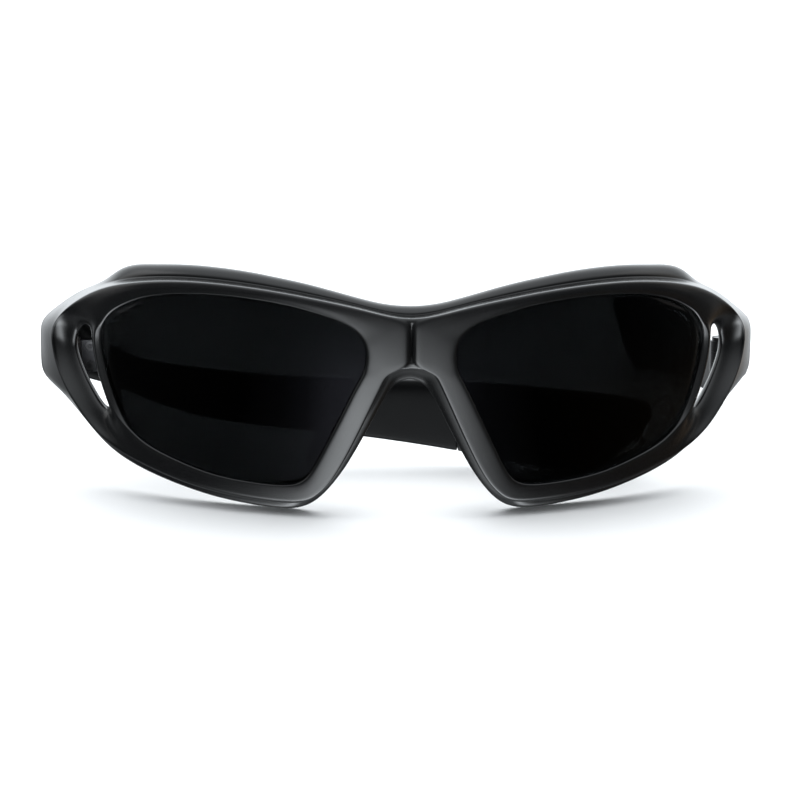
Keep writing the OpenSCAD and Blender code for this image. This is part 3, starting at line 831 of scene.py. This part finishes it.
link(first.outputs["Turn"], screw_turn.inputs["Y"])
link(first.outputs["Geometry"], place_screws.inputs["Points"])
link(head_and_shank.outputs["Geometry"], place_screws.inputs["Instance"])
link(screw_turn.outputs["Vector"], place_screws.inputs["Rotation"])
finish_tree(screw_tree, place_screws.outputs["Instances"], screw_steel, last)

screw_x, screw_spread = 66.0, 2.0
screw_sizes = {"Head radius": 0.99 * mm, "Head height": 0.4 * mm, "Shank radius": 0.5 * mm,
               "Shank length": 2.59 * mm, "Recess width": 0.28 * mm}
for side, hand in hands:
    for part, body, y in (("_front_leaf_screws", "front", 38.6),
                          ("_temple_leaf_screws", hand + "_temple", 45.4)):
        spots = [placed(side, screw_x, y, left_hinge.z + k * screw_spread) for k in (-1, 1)]
        screws = grown_on(hand + part + "_pair", spots, (1.0, 1.0), screw_tree,
                          {**screw_sizes, "Turn": side * math.pi / 2})
        if body != "front":
            screws.data.transform(rest_turn(hand))
        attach(screws, body)
        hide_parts(hand + part)


# The studio is a plain pale floor under one wide soft light. What shines on the glasses
# comes from the air round them: a bright table in front and below, a pale wall behind, and
# a soft glow above, with a warm tone low on the wearer's left.

build = bmesh.new()
bmesh.ops.create_circle(build, cap_ends=True, segments=64, radius=6.0)
floor = finished(build, "floor")
floor_white = bpy.data.materials.new("floor_white")
floor_white.use_nodes = True
floor_white.node_tree.nodes["Principled BSDF"].inputs["Base Color"].default_value = (0.9, 0.9, 0.9, 1)
floor_white.node_tree.nodes["Principled BSDF"].inputs["Roughness"].default_value = 0.9
floor.data.materials.append(floor_white)
# The air's own table stands in for the floor in what the glasses reflect
floor.visible_glossy = False
floor.visible_shadow = False

world = bpy.data.worlds.new("studio_air")
bpy.context.scene.world = world
world.use_nodes = True
nodes, links = world.node_tree.nodes, world.node_tree.links
where = nodes.new("ShaderNodeTexCoord")
split = nodes.new("ShaderNodeSeparateXYZ")
links.new(where.outputs["Generated"], split.inputs["Vector"])


# The brightness that stands at 1 on the curves
curve_unit = 8.0


def sweep(axis, stops):
    """Brightness along one axis of the studio, through stops of (direction, brightness)."""
    ramp = nodes.new("ShaderNodeFloatCurve")
    curve = ramp.mapping.curves[0]
    ramp.mapping.clip_min_x = ramp.mapping.clip_min_y = 0
    ramp.mapping.clip_max_x = ramp.mapping.clip_max_y = 1
    for end in (0, -1):
        curve.points[end].location = ((stops[end][0] + 1) / 2, stops[end][1] / curve_unit)
    for place, value in stops[1:-1]:
        curve.points.new((place + 1) / 2, value / curve_unit)
    for point in curve.points:
        point.handle_type = "VECTOR"
    ramp.mapping.update()
    half = nodes.new("ShaderNodeMath")
    half.operation = "MULTIPLY_ADD"
    half.inputs[1].default_value, half.inputs[2].default_value = 0.5, 0.5
    links.new(split.outputs[axis], half.inputs[0])
    links.new(half.outputs["Value"], ramp.inputs["Value"])
    lift = nodes.new("ShaderNodeMath")
    lift.operation = "MULTIPLY"
    lift.inputs[1].default_value = curve_unit
    links.new(ramp.outputs["Value"], lift.inputs[0])
    return lift.outputs["Value"]


def combine(operation, first, second):
    """Two brightnesses put together by a plain operation."""
    step = nodes.new("ShaderNodeMath")
    step.operation = operation
    links.new(first, step.inputs[0])
    links.new(second, step.inputs[1])
    return step.outputs["Value"]


height_light = sweep("Z", [(-1, 0.08), (-0.75, 0.05), (-0.5, 0.04), (-0.2, 0.1), (0.0, 0.08), (0.2, 0.1),
                           (0.4, 0.3), (0.6, 0.75), (0.8, 1.3), (1, 1.7)])
table_across = sweep("X", [(-1, 0), (-0.65, 0), (-0.5, 0.5), (-0.4, 1.5), (-0.3, 4.5), (-0.2, 6), (-0.1, 6),
                           (0.0, 4.4), (0.1, 3.8), (0.2, 3.0), (0.3, 1.6), (0.4, 0.6), (0.6, 0), (1, 0)])
table_depth = sweep("Z", [(-1, 1), (-0.15, 1), (-0.08, 0.75), (-0.02, 0.45), (0.08, 0.2), (0.2, 0), (1, 0)])
table_middle = combine("MULTIPLY", table_across, table_depth)
table_near = sweep("Z", [(-1, 9), (-0.93, 9), (-0.87, 3), (-0.8, 0.1), (-0.7, 0), (1, 0)])
table = combine("MULTIPLY", combine("MAXIMUM", table_middle, table_near),
                sweep("Y", [(-1, 1), (-0.25, 1), (-0.12, 0.4), (0.0, 0.04), (1, 0.02)]))
back_wall = combine("MULTIPLY", sweep("Y", [(-1, 0), (0.1, 0), (0.5, 0.8), (0.8, 1.8), (1, 2.6)]),
                    sweep("Z", [(-1, 0.02), (-0.4, 0.06), (-0.2, 0.35), (0, 0.8), (0.3, 1), (1, 1)]))
total = combine("ADD", combine("ADD", height_light, table), back_wall)
air = nodes["Background"]
links.new(total, air.inputs["Strength"])
warm_side = combine("MULTIPLY", sweep("X", [(-1, 0), (0.5, 0), (0.75, 1), (1, 1)]),
                    sweep("Z", [(-1, 1), (-0.3, 1), (0, 0), (1, 0)]))
warmth = nodes.new("ShaderNodeMix")
warmth.data_type = "RGBA"
warmth.inputs["A"].default_value = (0.92, 0.965, 1.0, 1)
warmth.inputs["B"].default_value = (1.0, 0.74, 0.5, 1)
links.new(warm_side, warmth.inputs["Factor"])
links.new(warmth.outputs["Result"], air.inputs["Color"])
# The camera itself sees plain white past the floor
seen = nodes.new("ShaderNodeBackground")
seen.inputs["Color"].default_value = (1, 1, 1, 1)
seen.inputs["Strength"].default_value = 1.0
ray = nodes.new("ShaderNodeLightPath")
either = nodes.new("ShaderNodeMixShader")
links.new(ray.outputs["Is Camera Ray"], either.inputs["Fac"])
links.new(air.outputs["Background"], either.inputs[1])
links.new(seen.outputs["Background"], either.inputs[2])
links.new(either.outputs["Shader"], nodes["World Output"].inputs["Surface"])

stand = Vector((0, bridge_y * mm, 0.02))
for name, place, size, power, colour in (
        ("left_light", (-0.9, 0.1, 0.45), (0.5, 0.7), 1.2, (1, 1, 1)),
        ("right_light", (0.9, 0.1, 0.45), (0.5, 0.7), 0.6, (1, 0.96, 0.9))):
    lamp = bpy.data.lights.new(name, "AREA")
    lamp.shape = "RECTANGLE"
    lamp.size, lamp.size_y = size
    lamp.energy = power
    lamp.color = colour
    holder = bpy.data.objects.new(name, lamp)
    holder.location = stand + Vector(place)
    holder.rotation_mode = "QUATERNION"
    holder.rotation_quaternion = (-Vector(place)).to_track_quat("-Z", "Y")
    bpy.context.scene.collection.objects.link(holder)

overhead = bpy.data.lights.new("overhead", "SUN")
overhead.energy, overhead.angle = 1.3, math.radians(80)
holder = bpy.data.objects.new("overhead", overhead)
holder.rotation_mode = "QUATERNION"
holder.rotation_quaternion = Vector((0.0, -0.35, -1.0)).to_track_quat("-Z", "Y")
holder.visible_glossy = False
bpy.context.scene.collection.objects.link(holder)
bpy.context.scene.view_settings.view_transform = "Standard"

# The camera stands where the photograph was taken from
camera = bpy.data.objects.new("camera", bpy.data.cameras.new("camera"))
bpy.context.scene.collection.objects.link(camera)
bpy.context.scene.camera = camera
turn, rise, far = math.radians(-3.5), math.radians(12.5), 0.5
aim = Vector((-2.1, bridge_y, 23.8)) * mm
away = Vector((math.sin(turn) * math.cos(rise), -math.cos(turn) * math.cos(rise), math.sin(rise)))
camera.location = aim + away * far
camera.rotation_mode = "QUATERNION"
level = (-away).to_track_quat("-Z", "Y")
camera.rotation_quaternion = level @ Quaternion((0, 0, 1), math.radians(0.62))
camera.data.sensor_width = 36
camera.data.lens = 121.4
camera.data.clip_start = 0.01
